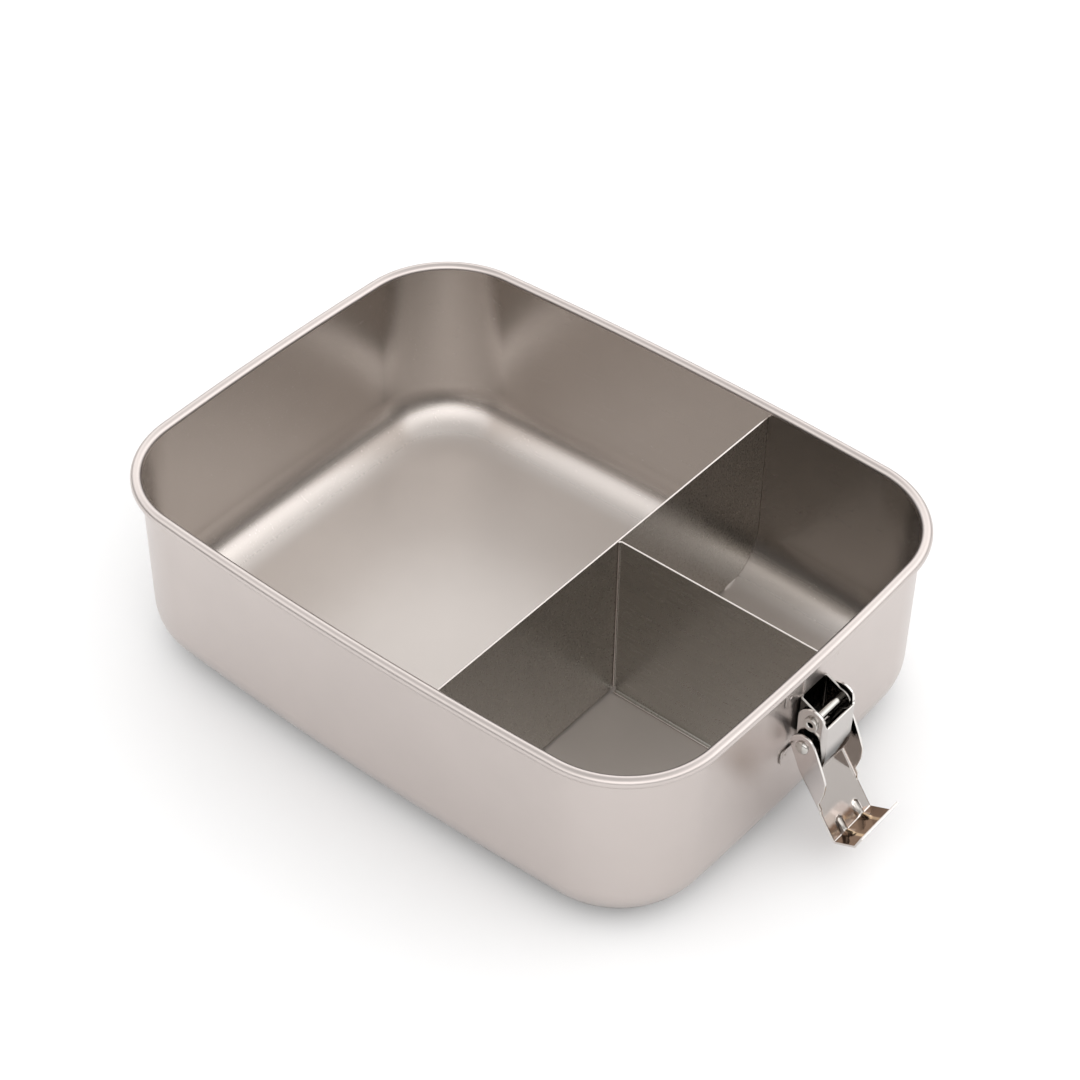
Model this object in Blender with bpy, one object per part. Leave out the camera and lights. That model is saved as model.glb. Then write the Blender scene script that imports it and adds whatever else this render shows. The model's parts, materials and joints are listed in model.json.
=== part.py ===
"""Stainless steel lunch box: a deep-drawn tray with two dividers and a hook latch on each end.

Run with: blender --background --python part.py

Units are metres and +Z is up. X runs along the length, between the two latches, and the origin
is on the table, under the middle of the tray. Both latches are open, with their hooks hanging.
"""

import math

import bmesh
import bpy
from mathutils import Vector

MM = 0.001
GAP = 0.3 * MM  # kept between pieces that touch
OVERSIZE = 4 * MM  # how far a cutter runs past what it cuts

# Tray. The outline is that of the inner wall: four slightly bowed sides and four round corners.
SHEET = 0.6 * MM
TRAY_HEIGHT = 64.5 * MM
HALF_LENGTH = 101.35 * MM
HALF_WIDTH = 76.45 * MM
CORNER_RADIUS = 29.2 * MM
END_BOW_RADIUS = 1180 * MM
SIDE_BOW_RADIUS = 1335 * MM
RIM_RADIUS = 1.8 * MM  # the edge is rolled outwards into a bead of this radius
FLOOR_FILLET = 15.7 * MM
CORNER_STEPS = 7
BOW_STEPS = 2
FILLET_STEPS = 5
RIM_STEPS = 6
RIM_END = math.radians(-100)  # where the roll stops, seen from the bead's centre

# Dividers
LONG_DIVIDER_X = 30.9 * MM
SHORT_DIVIDER_Y = 3.7 * MM
DIVIDER_TOP = TRAY_HEIGHT - 3.2 * MM
SEAM_FLANGE = 2.4 * MM  # bent strip that joins the short divider to the long one
FOOT_FLANGE = 1.3 * MM  # bent strip that joins a divider to the floor

# Latch, measured from the tray's end wall. Heights are given from the tray's rim down.
PLATE = 0.7 * MM
WALL = HALF_LENGTH + SHEET
LEVER_AXIS = Vector((107.7 * MM, 0, TRAY_HEIGHT - 18.2 * MM))
HOOK_AXIS = Vector((106.8 * MM, 0, TRAY_HEIGHT - 26.6 * MM))
HOOK_HANGING = math.radians(145)  # the hook's turn from upright, on the lid, to hanging free
PIN_CLEARANCE = 0.35 * MM

BASE_TAB_HALF_WIDTH = 13.0 * MM
BASE_TOP = 6.2 * MM
BASE_CROWN = 1.0 * MM
BASE_UPPER_TAB = 6.0 * MM
BASE_LOWER_TAB_FROM = 29.5 * MM
BASE_BOTTOM = 34.5 * MM
EAR_OUTER = 6.3 * MM  # outer face of the base plate's ears
EAR_RADIUS = 3.6 * MM
EAR_RISE = 6.2 * MM
EAR_DROP = 8.0 * MM

LEVER_OUTER = 7.4 * MM
LEVER_RADIUS = 4.7 * MM
LEVER_FOOT_RADIUS = 3.2 * MM
WEB_STRAIGHT = 11.5 * MM
WEB_END = 18.5 * MM
WEB_CURL_RADIUS = 16.0 * MM
WEB_CURL_STEPS = 4

HOOK_OUTER = 9.4 * MM
HOOK_RADIUS = 4.2 * MM
HOOK_PLATE_X = 6.6 * MM  # outer face of the hook's plate, from the pin, with the hook upright
HOOK_PLATE_FROM = 10.0 * MM
HOOK_CREASE = 32.8 * MM
HOOK_EAR_END = 20.6 * MM  # the ears' free edges run into the plate at this height
HOOK_EAR_EDGE = ((3.4 * MM, 18.3 * MM), (0.8 * MM, 16 * MM), (-1.7 * MM, 12.7 * MM), (-3.2 * MM, 6 * MM))
LIP_END = (-1.4 * MM, 34.1 * MM)
CLAW_END = (-5.4 * MM, 31.4 * MM)

LEVER_PIN_RADIUS = 1.4 * MM
LEVER_PIN_BORE = 0.8 * MM
LEVER_PIN_HEAD = 2.3 * MM
HOOK_PIN_RADIUS = 1.2 * MM
HOOK_PIN_HEAD = 2.1 * MM
HEAD_THICKNESS = 0.6 * MM
DOME_EDGE = 0.6  # where the dome meets its flat top, as a share of the head's radius
ROUND_STEPS = 16
LEVER_TOP_STEPS = 10
LOBE_STEPS = 8
NOSE_STEPS = 9
NOSE_FROM = math.radians(80)
NOSE_TO = math.radians(-100)
FOOT_STEPS = 7
FOOT_FROM = math.radians(-50)

SATIN_STEEL = (0.62, 0.59, 0.56)
POLISHED_STEEL = (0.72, 0.70, 0.67)


# ---------------------------------------------------------------- scene and materials


def clear_scene():
    for thing in list(bpy.data.objects):
        bpy.data.objects.remove(thing)


def steel(name, colour, roughness):
    """A bare metal surface."""
    material = bpy.data.materials.new(name)
    material.use_nodes = True
    shader = material.node_tree.nodes["Principled BSDF"]
    shader.inputs["Base Color"].default_value = (*colour, 1)
    shader.inputs["Metallic"].default_value = 1.0
    shader.inputs["Roughness"].default_value = roughness
    return material


# ---------------------------------------------------------------- shapes


def arc(centre, radius, start, end, steps):
    """Points on a circle in the drawing plane, both ends included. Angles are in radians."""
    turns = [start + (end - start) * i / steps for i in range(steps + 1)]
    return [(centre[0] + radius * math.cos(t), centre[1] + radius * math.sin(t)) for t in turns]


def add_object(name, mesh, material, parent=None):
    """Puts a bmesh in the scene as a named object, with its faces pointing out."""
    bmesh.ops.recalc_face_normals(mesh, faces=mesh.faces)
    data = bpy.data.meshes.new(name)
    mesh.to_mesh(data)
    mesh.free()
    data.shade_smooth()
    data.set_sharp_from_angle(angle=math.radians(35))
    data.materials.append(material)
    thing = bpy.data.objects.new(name, data)
    bpy.context.scene.collection.objects.link(thing)
    thing.parent = parent
    return thing


def prism(name, outline, axis, low, high, material, parent=None):
    """Extrudes an outline from low to high along X, Y or Z. It is drawn in the other two axes."""
    order = {"X": (2, 0, 1), "Y": (0, 2, 1), "Z": (0, 1, 2)}[axis]
    mesh = bmesh.new()
    ends = []
    for level in (low, high):
        corners = [(*point, level) for point in outline]
        ends.append([mesh.verts.new([corner[i] for i in order]) for corner in corners])
    mesh.faces.new(ends[0])
    mesh.faces.new(ends[1])
    for i in range(len(outline)):
        j = (i + 1) % len(outline)
        mesh.faces.new((ends[0][i], ends[0][j], ends[1][j], ends[1][i]))
    return add_object(name, mesh, material, parent)


def turned(name, profile, closed, material, parent=None):
    """Turns a profile of (radius, y) points about the Y axis. An open one ends on the axis."""
    mesh = bmesh.new()
    rings = []
    for radius, y in profile:
        if radius == 0:
            rings.append([mesh.verts.new((0, y, 0))])
            continue
        points = arc((0, 0), radius, 0, math.tau, ROUND_STEPS)[:-1]
        rings.append([mesh.verts.new((x, y, z)) for x, z in points])
    pairs = list(zip(rings, rings[1:]))
    if closed:
        pairs.append((rings[-1], rings[0]))
    for one, two in pairs:
        for i in range(ROUND_STEPS):
            j = (i + 1) % ROUND_STEPS
            corners = [one[i % len(one)], one[j % len(one)], two[j % len(two)], two[i % len(two)]]
            mesh.faces.new(list(dict.fromkeys(corners)))
    return add_object(name, mesh, material, parent)


def boolean(target, tool, operation):
    """Joins a tool to its target, or cuts it away. The tool stays in the scene as a guide."""
    modifier = target.modifiers.new(tool.name, "BOOLEAN")
    modifier.operation = operation
    modifier.object = tool
    tool.hide_render = True
    tool.display_type = "WIRE"


def empty(name, location, parent=None, turn=(0, 0, 0)):
    thing = bpy.data.objects.new(name, None)
    bpy.context.scene.collection.objects.link(thing)
    thing.location = location
    thing.rotation_euler = turn
    thing.parent = parent
    return thing


# ---------------------------------------------------------------- tray


def corner_centre():
    """Where the corner's round meets both bowed sides without a kink, in the first quadrant."""
    end_centre = Vector((HALF_LENGTH - END_BOW_RADIUS, 0))
    side_centre = Vector((0, HALF_WIDTH - SIDE_BOW_RADIUS))
    end_reach = END_BOW_RADIUS - CORNER_RADIUS
    side_reach = SIDE_BOW_RADIUS - CORNER_RADIUS
    across = side_centre - end_centre
    span = across.length
    along = (end_reach**2 - side_reach**2 + span**2) / (2 * span)
    off = math.sqrt(end_reach**2 - along**2)
    across.normalize()
    return end_centre + across * along + Vector((-across.y, across.x)) * off


def tray_outline(grow):
    """The tray's outline moved outwards by grow, all the way round, anticlockwise from +X."""
    corner = corner_centre()
    end_centre = Vector((HALF_LENGTH - END_BOW_RADIUS, 0))
    side_centre = Vector((0, HALF_WIDTH - SIDE_BOW_RADIUS))
    end_turn = math.atan2(*(corner - end_centre).yx)
    side_turn = math.atan2(*(corner - side_centre).yx)
    quadrant = arc(end_centre, END_BOW_RADIUS + grow, 0, end_turn, BOW_STEPS)[:-1]
    quadrant += arc(corner, CORNER_RADIUS + grow, end_turn, side_turn, CORNER_STEPS)[:-1]
    quadrant += arc(side_centre, SIDE_BOW_RADIUS + grow, side_turn, math.pi / 2, BOW_STEPS)
    half = quadrant[:-1] + [(-x, y) for x, y in reversed(quadrant)]
    return half[:-1] + [(-x, -y) for x, y in half[:-1]]


def wall_section(inset):
    """(grow, height) up the wall from the floor, on the inner face moved inwards by inset."""
    radius = FLOOR_FILLET - inset
    centre = (-FLOOR_FILLET, SHEET + FLOOR_FILLET)
    return arc(centre, radius, -math.pi / 2, 0, FILLET_STEPS)


def tray_section():
    """(grow, height) round the whole sheet: up the inside, over the rim and down the outside."""
    bead = (RIM_RADIUS, TRAY_HEIGHT - RIM_RADIUS)
    inside = wall_section(0)
    over = arc(bead, RIM_RADIUS, math.pi, RIM_END, RIM_STEPS)
    under = arc(bead, RIM_RADIUS - SHEET, RIM_END, math.pi, RIM_STEPS)
    outside = wall_section(-SHEET)
    return inside + over + under + outside[::-1]


def make_tray(material):
    mesh = bmesh.new()
    rings = []
    for grow, height in tray_section():
        rings.append([mesh.verts.new((x, y, height)) for x, y in tray_outline(grow)])
    for one, two in zip(rings, rings[1:]):
        for i in range(len(one)):
            j = (i + 1) % len(one)
            mesh.faces.new((one[i], one[j], two[j], two[i]))
    mesh.faces.new(rings[0])
    mesh.faces.new(rings[-1])
    return add_object("tray", mesh, material)


# ---------------------------------------------------------------- dividers


def end_wall_x(y, grow):
    return HALF_LENGTH - END_BOW_RADIUS + math.sqrt((END_BOW_RADIUS + grow) ** 2 - y**2)


def side_wall_y(x, grow):
    return HALF_WIDTH - SIDE_BOW_RADIUS + math.sqrt((SIDE_BOW_RADIUS + grow) ** 2 - x**2)


def box(name, low, high, material):
    outline = [(low[0], low[1]), (high[0], low[1]), (high[0], high[1]), (low[0], high[1])]
    return prism(name, outline, "Z", low[2], high[2], material)


def make_long_divider(material):
    """Crosses the tray from side to side, and follows both floor fillets."""
    rise = wall_section(GAP)
    side = [(side_wall_y(LONG_DIVIDER_X, grow), height) for grow, height in rise]
    side.append((side[-1][0], DIVIDER_TOP))
    outline = side + [(-y, height) for y, height in reversed(side)]
    divider = prism(
        "long_divider", outline, "X",
        LONG_DIVIDER_X - SHEET / 2, LONG_DIVIDER_X + SHEET / 2, material,
    )
    floor = SHEET + GAP
    reach = side[0][0] - SHEET
    foot = box(
        "long_divider_foot_guide",
        (LONG_DIVIDER_X - SHEET / 2 - FOOT_FLANGE, -reach, floor),
        (LONG_DIVIDER_X, reach, floor + SHEET), material,
    )
    boolean(divider, foot, "UNION")
    return divider


def make_short_divider(material):
    """Runs from the long divider to the end wall, with a bent strip at its seam and its foot."""
    near = LONG_DIVIDER_X + SHEET / 2 + GAP
    floor = SHEET + GAP
    rise = wall_section(GAP)
    end = [(end_wall_x(SHORT_DIVIDER_Y, grow), height) for grow, height in rise]
    outline = [(near, floor)] + end + [(end[-1][0], DIVIDER_TOP), (near, DIVIDER_TOP)]
    divider = prism(
        "short_divider", outline, "Y",
        SHORT_DIVIDER_Y - SHEET / 2, SHORT_DIVIDER_Y + SHEET / 2, material,
    )
    face = SHORT_DIVIDER_Y - SHEET / 2
    seam = box(
        "short_divider_seam_guide",
        (near, face - SEAM_FLANGE, floor + 2 * SHEET),
        (near + SHEET, SHORT_DIVIDER_Y, DIVIDER_TOP - SHEET), material,
    )
    foot = box(
        "short_divider_foot_guide",
        (near + 3 * SHEET, face - FOOT_FLANGE, floor),
        (end[0][0] - SHEET, SHORT_DIVIDER_Y, floor + SHEET), material,
    )
    boolean(divider, seam, "UNION")
    boolean(divider, foot, "UNION")
    return divider


# ---------------------------------------------------------------- latch


def hole(name, target, axis, radius, parent, material):
    """Drills a hole along Y through the target."""
    outline = arc((axis.x, axis.z), radius, 0, math.tau, ROUND_STEPS)[:-1]
    reach = HOOK_OUTER + OVERSIZE
    boolean(target, prism(name, outline, "Y", -reach, reach, material, parent), "DIFFERENCE")


def make_base_plate(side, frame, material):
    """An H-shaped plate on the end wall, with two ears that hold the lever's pin."""
    back = WALL + GAP
    top = TRAY_HEIGHT - BASE_TOP
    wide = BASE_TAB_HALF_WIDTH
    waist = EAR_OUTER
    waist_top = top - BASE_UPPER_TAB
    waist_bottom = TRAY_HEIGHT - BASE_LOWER_TAB_FROM
    bottom = TRAY_HEIGHT - BASE_BOTTOM
    half = [
        (waist, top + BASE_CROWN), (waist + SHEET, top), (wide - SHEET, top), (wide, top - SHEET),
        (wide, waist_top), (waist, waist_top), (waist, waist_bottom), (wide, waist_bottom),
        (wide, bottom + SHEET), (wide - SHEET, bottom),
    ]
    outline = half + [(-y, z) for y, z in reversed(half)]
    plate = prism(f"{side}_latch_base", outline, "X", back, back + PLATE, material, frame)

    root = back + PLATE / 2
    centre = (LEVER_AXIS.x, LEVER_AXIS.z)
    nose = arc(centre, EAR_RADIUS, NOSE_FROM, NOSE_TO, NOSE_STEPS)
    ear = [(root, LEVER_AXIS.z - EAR_DROP), (root, LEVER_AXIS.z + EAR_RISE)] + nose
    for word, low in (("near", -EAR_OUTER), ("far", EAR_OUTER - PLATE)):
        ear_guide = prism(f"{side}_{word}_ear_guide", ear, "Y", low, low + PLATE, material, frame)
        boolean(plate, ear_guide, "UNION")
    hole(f"{side}_base_hole_guide", plate, LEVER_AXIS, LEVER_PIN_RADIUS + PIN_CLEARANCE, frame, material)
    return plate


def make_lever_pin(side, frame, material):
    """A tubular rivet with a flat head outside each of the lever's flanges."""
    inner = LEVER_OUTER + PIN_CLEARANCE
    outer = inner + HEAD_THICKNESS
    half = [
        (LEVER_PIN_BORE, outer), (LEVER_PIN_HEAD, outer),
        (LEVER_PIN_HEAD, inner), (LEVER_PIN_RADIUS, inner),
    ]
    profile = half + [(radius, -y) for radius, y in reversed(half)]
    pin = turned(f"{side}_lever_pin", profile, True, material, frame)
    pin.location = LEVER_AXIS
    return pin


def make_lever(side, frame, material):
    """A channel over the base plate's ears. Its outer web ends in a thumb tab. Returns its pivot."""
    pivot = empty(f"{side}_lever_pivot", LEVER_AXIS, frame)
    foot = HOOK_AXIS - LEVER_AXIS
    curl = math.asin((WEB_END - WEB_STRAIGHT) / WEB_CURL_RADIUS)

    def web(x):
        """Down one face of the web, from its straight stretch to its end."""
        centre = (LEVER_RADIUS - WEB_CURL_RADIUS, -WEB_STRAIGHT)
        return arc(centre, WEB_CURL_RADIUS - LEVER_RADIUS + x, 0, -curl, WEB_CURL_STEPS)

    inside = LEVER_RADIUS - PLATE
    outline = arc((0, 0), LEVER_RADIUS, math.pi, 0, LEVER_TOP_STEPS) + web(LEVER_RADIUS)
    outline += web(inside)[:1:-1]
    outline += arc((foot.x, foot.z), LEVER_FOOT_RADIUS, FOOT_FROM, -math.pi, FOOT_STEPS)
    lever = prism(f"{side}_lever", outline, "Y", -LEVER_OUTER, LEVER_OUTER, material, pivot)

    far = LEVER_RADIUS + OVERSIZE
    room = [(-far, far), (far, far), (far, 0), (inside, 0)] + web(inside)
    room += [(room[-1][0] - SHEET, -WEB_END - OVERSIZE), (-far, -WEB_END - OVERSIZE)]
    reach = LEVER_OUTER - PLATE
    boolean(lever, prism(f"{side}_lever_room_guide", room, "Y", -reach, reach, material, pivot), "DIFFERENCE")
    axis = Vector((0, 0, 0))
    hole(f"{side}_lever_hole_guide", lever, axis, LEVER_PIN_RADIUS + PIN_CLEARANCE, pivot, material)
    hole(f"{side}_lever_foot_guide", lever, foot, HOOK_PIN_RADIUS + PIN_CLEARANCE, pivot, material)
    return pivot


def make_hook_pin(side, lever_pivot, material):
    """A solid rivet with a domed head outside each of the hook's ears. It turns in the lever's foot."""
    inner = HOOK_OUTER + PIN_CLEARANCE
    outer = inner + HEAD_THICKNESS
    half = [
        (0, outer + GAP), (HOOK_PIN_HEAD * DOME_EDGE, outer), (HOOK_PIN_HEAD, inner + GAP),
        (HOOK_PIN_HEAD, inner), (HOOK_PIN_RADIUS, inner),
    ]
    profile = half + [(radius, -y) for radius, y in reversed(half)]
    pin = turned(f"{side}_hook_pin", profile, False, material, lever_pivot)
    pin.location = HOOK_AXIS - LEVER_AXIS
    return pin


def other_face(path, thickness):
    """The second face of a bent sheet whose first face is path. It lies to the path's left."""
    path = [Vector(point) for point in path]
    runs = [(after - before).normalized() for before, after in zip(path, path[1:])]
    points = []
    for point, before, after in zip(path, runs[:1] + runs, runs + runs[-1:]):
        sides = Vector((-before.y, before.x)) + Vector((-after.y, after.x))
        sides.normalize()
        stretch = sides.dot(Vector((-before.y, before.x)))
        points.append(tuple(point + sides * thickness / stretch))
    return points


def hook_profile():
    """The hook from the side, drawn upright, with its pin at the origin and the wall at -X."""
    face = [(HOOK_PLATE_X, HOOK_PLATE_FROM), (HOOK_PLATE_X, HOOK_CREASE), LIP_END, CLAW_END]
    under = other_face(face, PLATE)
    lobe = arc((0, 0), HOOK_RADIUS, math.pi, math.tau, LOBE_STEPS)
    return lobe + face + under[:0:-1] + [(under[0][0], HOOK_EAR_END), *HOOK_EAR_EDGE]


def make_hook(side, pin, material):
    """A plate with two ears on the pin, and a lip and a claw that reach over the lid's edge."""
    pivot = empty(f"{side}_hook_pivot", (0, 0, 0), pin, (0, HOOK_HANGING, 0))
    hook = prism(f"{side}_hook", hook_profile(), "Y", -HOOK_OUTER, HOOK_OUTER, material, pivot)
    far = HOOK_PLATE_X + OVERSIZE
    inner = HOOK_PLATE_X - PLATE
    room = [(-far, -far), (far, -far), (far, HOOK_PLATE_FROM), (inner, HOOK_PLATE_FROM)]
    room += [(inner, HOOK_EAR_END + PLATE), (-far, HOOK_EAR_END + PLATE)]
    reach = HOOK_OUTER - PLATE
    boolean(hook, prism(f"{side}_hook_room_guide", room, "Y", -reach, reach, material, pivot), "DIFFERENCE")
    axis = Vector((0, 0, 0))
    hole(f"{side}_hook_hole_guide", hook, axis, HOOK_PIN_RADIUS + PIN_CLEARANCE, pivot, material)
    return hook


def make_latch(side, turn, material):
    """One latch, drawn on the +X end. The other end's is the same, turned half round."""
    frame = empty(f"{side}_latch_frame", (0, 0, 0), None, (0, 0, turn))
    make_base_plate(side, frame, material)
    make_lever_pin(side, frame, material)
    lever_pivot = make_lever(side, frame, material)
    hook_pin = make_hook_pin(side, lever_pivot, material)
    make_hook(side, hook_pin, material)


def main():
    clear_scene()
    satin = steel("satin_steel", SATIN_STEEL, 0.38)
    polished = steel("polished_steel", POLISHED_STEEL, 0.12)
    make_tray(satin)
    make_long_divider(satin)
    make_short_divider(satin)
    make_latch("right", 0, polished)
    make_latch("left", math.pi, polished)


main()
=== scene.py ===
import json
import math

import bmesh
import bpy
from mathutils import Matrix, Vector


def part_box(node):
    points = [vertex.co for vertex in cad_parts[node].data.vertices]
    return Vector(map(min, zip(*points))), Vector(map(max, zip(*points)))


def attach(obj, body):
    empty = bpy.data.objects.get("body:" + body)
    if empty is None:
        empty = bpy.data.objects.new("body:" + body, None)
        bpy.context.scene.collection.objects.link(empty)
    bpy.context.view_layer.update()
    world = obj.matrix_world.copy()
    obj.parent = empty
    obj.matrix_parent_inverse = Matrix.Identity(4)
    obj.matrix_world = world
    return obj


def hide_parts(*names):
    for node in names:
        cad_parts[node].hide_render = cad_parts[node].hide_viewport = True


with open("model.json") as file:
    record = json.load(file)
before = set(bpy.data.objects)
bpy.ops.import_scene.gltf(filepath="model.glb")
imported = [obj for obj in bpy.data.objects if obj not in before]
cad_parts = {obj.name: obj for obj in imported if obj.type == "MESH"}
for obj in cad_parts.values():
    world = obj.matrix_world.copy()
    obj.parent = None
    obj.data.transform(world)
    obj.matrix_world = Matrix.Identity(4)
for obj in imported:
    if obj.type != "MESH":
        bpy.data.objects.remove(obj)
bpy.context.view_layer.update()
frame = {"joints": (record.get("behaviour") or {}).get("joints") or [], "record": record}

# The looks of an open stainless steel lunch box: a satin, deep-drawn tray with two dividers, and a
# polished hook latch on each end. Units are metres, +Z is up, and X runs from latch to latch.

MM = 0.001
JOINTS = {joint["name"]: joint for joint in frame["joints"]}
BODY_OF = {
    node: body for body, nodes in frame["record"]["behaviour"]["bodies"].items() for node in nodes
}

# Tray, measured from the frame. The outline is that of the inner wall.
TRAY_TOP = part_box("tray")[1]
SHEET = 0.6 * MM
RIM_RADIUS = 1.8 * MM
HALF_LENGTH = TRAY_TOP.x - 2 * RIM_RADIUS
HALF_WIDTH = TRAY_TOP.y - 2 * RIM_RADIUS
CORNER_RADIUS = 29.2 * MM
END_BOW_RADIUS = 1180 * MM
SIDE_BOW_RADIUS = 1335 * MM
FLOOR_FILLET = 15.7 * MM
RIM_END = math.radians(-100)
WALL = HALF_LENGTH + SHEET

# Dividers
DIVIDER_EDGE = 0.2 * MM
LONG_LOW, LONG_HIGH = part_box("long_divider")
SHORT_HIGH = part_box("short_divider")[1]
LONG_DIVIDER_X = LONG_HIGH.x - SHEET / 2
SHORT_DIVIDER_Y = SHORT_HIGH.y - SHEET / 2
DIVIDER_FOOT = LONG_LOW.z - 0.25 * MM + SHEET / 2  # the middle of the foot strips' sheet
WELD_GAP = 0.05 * MM  # what is left between welded pieces

# Latch, as it stands on the +X end
PLATE = 0.7 * MM
LEVER_AXIS = Vector(JOINTS["right_lever_hinge"]["pos_m"])
HOOK_AXIS = Vector(JOINTS["right_hook_hinge"]["pos_m"])
HOOK_HANGING = math.radians(JOINTS["right_hook_hinge"]["range_deg"][1])
BASE_LOW, BASE_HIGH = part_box("right_latch_base")
BASE_TOP = TRAY_TOP.z - 6.2 * MM
LOWER_TABS_TOP = TRAY_TOP.z - 29.5 * MM
LEVER_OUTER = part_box("right_lever")[1].y
HOOK_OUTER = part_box("right_hook")[1].y
HOOK_INSIDE = HOOK_OUTER - PLATE
CLAW_X = 127.0 * MM
DART_Y = 4.0 * MM
PIN_CLEARANCE = 0.05 * MM
LEVER_PIN_HOLE = 1.45 * MM
HOOK_PIN_HOLE = 1.25 * MM
LEVER_PIN_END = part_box("right_lever_pin")[1].y
HOOK_PIN_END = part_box("right_hook_pin")[1].y

# Finishes
SATIN_GRAIN = 0.001 * MM
INNER_GRAIN = 0.0008 * MM
DIVIDER_GRAIN = 0.0001 * MM
POLISHED_GRAIN = 0.0005 * MM


# ---------------------------------------------------------------- shapes


def arc(centre, radius, start, end, steps):
    """Points on a circle in the drawing plane, both ends included. Angles are in radians."""
    turns = [start + (end - start) * i / steps for i in range(steps + 1)]
    return [(centre[0] + radius * math.cos(t), centre[1] + radius * math.sin(t)) for t in turns]


def spread(start, end, steps):
    """Evenly spaced numbers, both ends included."""
    return [start + (end - start) * i / steps for i in range(steps + 1)]


def smooth_step(value, low, high):
    """Runs smoothly from 0 at low to 1 at high."""
    share = min(1.0, max(0.0, (value - low) / (high - low)))
    return share * share * (3 - 2 * share)


def add_object(name, mesh, materials):
    """Puts a bmesh in the scene as a named, smooth-shaded object."""
    bmesh.ops.recalc_face_normals(mesh, faces=mesh.faces)
    data = bpy.data.meshes.new(name)
    mesh.to_mesh(data)
    mesh.free()
    data.shade_smooth()
    for material in materials:
        data.materials.append(material)
    thing = bpy.data.objects.new(name, data)
    bpy.context.scene.collection.objects.link(thing)
    return thing


def apply_modifiers(thing):
    """Turns the object's modifiers into its mesh."""
    graph = bpy.context.evaluated_depsgraph_get()
    graph.update()
    data = bpy.data.meshes.new_from_object(thing.evaluated_get(graph))
    thing.modifiers.clear()
    thing.data = data
    return thing


def weigh_normals(thing):
    """Keeps flat faces flat beside rounded edges."""
    thing.data.set_sharp_from_angle(angle=math.radians(50))
    modifier = thing.modifiers.new("flat faces", "WEIGHTED_NORMAL")
    modifier.keep_sharp = True
    modifier.weight = 100
    return apply_modifiers(thing)


def bent_sheet(name, columns, rows, place, keep, thickness, edge, finishes, patch=None):
    """A sheet of metal: its middle surface is a grid of columns by rows cells, thickened both ways.
    finishes are those of its front, its back and its cut edges, then of the front and the back of each
    further patch. patch(i, j) gives the place in finishes of a cell's front; its back's is the next."""
    mesh = bmesh.new()
    corners = {}

    def corner(i, j):
        if (i, j) not in corners:
            corners[i, j] = mesh.verts.new(place(i, j))
        return corners[i, j]

    for i in range(columns):
        for j in range(rows):
            if keep(i, j):
                cell = (corner(i, j), corner(i + 1, j), corner(i + 1, j + 1), corner(i, j + 1))
                face = mesh.faces.new(cell)
                if patch:
                    face.material_index = patch(i, j)
    thing = add_object(name, mesh, finishes)
    solid = thing.modifiers.new("thickness", "SOLIDIFY")
    solid.thickness = thickness
    solid.material_offset, solid.material_offset_rim = 1, 2
    solid.offset = 0
    solid.use_even_offset = True
    rounding = thing.modifiers.new("edges", "BEVEL")
    rounding.width = edge
    rounding.segments = 3
    rounding.limit_method = "ANGLE"
    rounding.angle_limit = math.radians(60)
    rounding.use_clamp_overlap = False
    rounding.material = 2
    return apply_modifiers(thing)


def turned(name, profile, material, steps=48):
    """Turns a closed profile of (radius, y) points about the Y axis. Points on the axis stay single."""
    mesh = bmesh.new()
    rings = []
    for radius, y in profile:
        if radius == 0:
            rings.append([mesh.verts.new((0, y, 0))])
            continue
        circle = arc((0, 0), radius, 0, math.tau, steps)[:-1]
        rings.append([mesh.verts.new((x, y, z)) for x, z in circle])
    pairs = list(zip(rings, rings[1:]))
    if len(rings[0]) > 1:
        pairs.append((rings[-1], rings[0]))
    for one, two in pairs:
        for i in range(steps):
            j = (i + 1) % steps
            around = [one[i % len(one)], one[j % len(one)], two[j % len(two)], two[i % len(two)]]
            mesh.faces.new(list(dict.fromkeys(around)))
    return add_object(name, mesh, [material])


def drill(thing, centre, radius, reach):
    """Cuts a round hole along Y."""
    mesh = bmesh.new()
    outline = arc((centre.x, centre.z), radius, 0, math.tau, 40)[:-1]
    ends = [[mesh.verts.new((x, y, z)) for x, z in outline] for y in (-reach, reach)]
    mesh.faces.new(ends[0])
    mesh.faces.new(ends[1])
    for i in range(len(outline)):
        j = (i + 1) % len(outline)
        mesh.faces.new((ends[0][i], ends[0][j], ends[1][j], ends[1][i]))
    tool = add_object("drill", mesh, [])
    modifier = thing.modifiers.new("hole", "BOOLEAN")
    modifier.operation = "DIFFERENCE"
    modifier.object = tool
    apply_modifiers(thing)
    bpy.data.objects.remove(tool)


def move_mesh(thing, matrix):
    thing.data.transform(matrix)
    thing.data.update()
    return thing


def settle(thing, node):
    """Stands for a CAD node and rides on its body."""
    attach(thing, BODY_OF[node])
    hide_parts(node)


# ---------------------------------------------------------------- materials


class Nodes:
    """A small helper that adds and joins the nodes of one material or world."""

    def __init__(self, owner):
        owner.use_nodes = True
        self.tree = owner.node_tree

    def add(self, kind, inputs=(), **settings):
        node = self.tree.nodes.new(kind)
        for key, value in settings.items():
            setattr(node, key, value)
        for key, value in dict(inputs).items():
            if isinstance(value, bpy.types.NodeSocket):
                self.tree.links.new(value, node.inputs[key])
            else:
                node.inputs[key].default_value = value
        return node

    def noise(self, place, scale, detail):
        inputs = {"Vector": place, "Scale": scale, "Detail": detail, "Roughness": 0.6}
        return self.add("ShaderNodeTexNoise", inputs).outputs["Fac"]

    def ramp(self, value, start, end, low, high, kind="LINEAR"):
        """Runs from low at start to high at end."""
        inputs = {"Value": value, "From Min": start, "From Max": end, "To Min": low, "To Max": high}
        return self.add("ShaderNodeMapRange", inputs, interpolation_type=kind).outputs[0]


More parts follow.
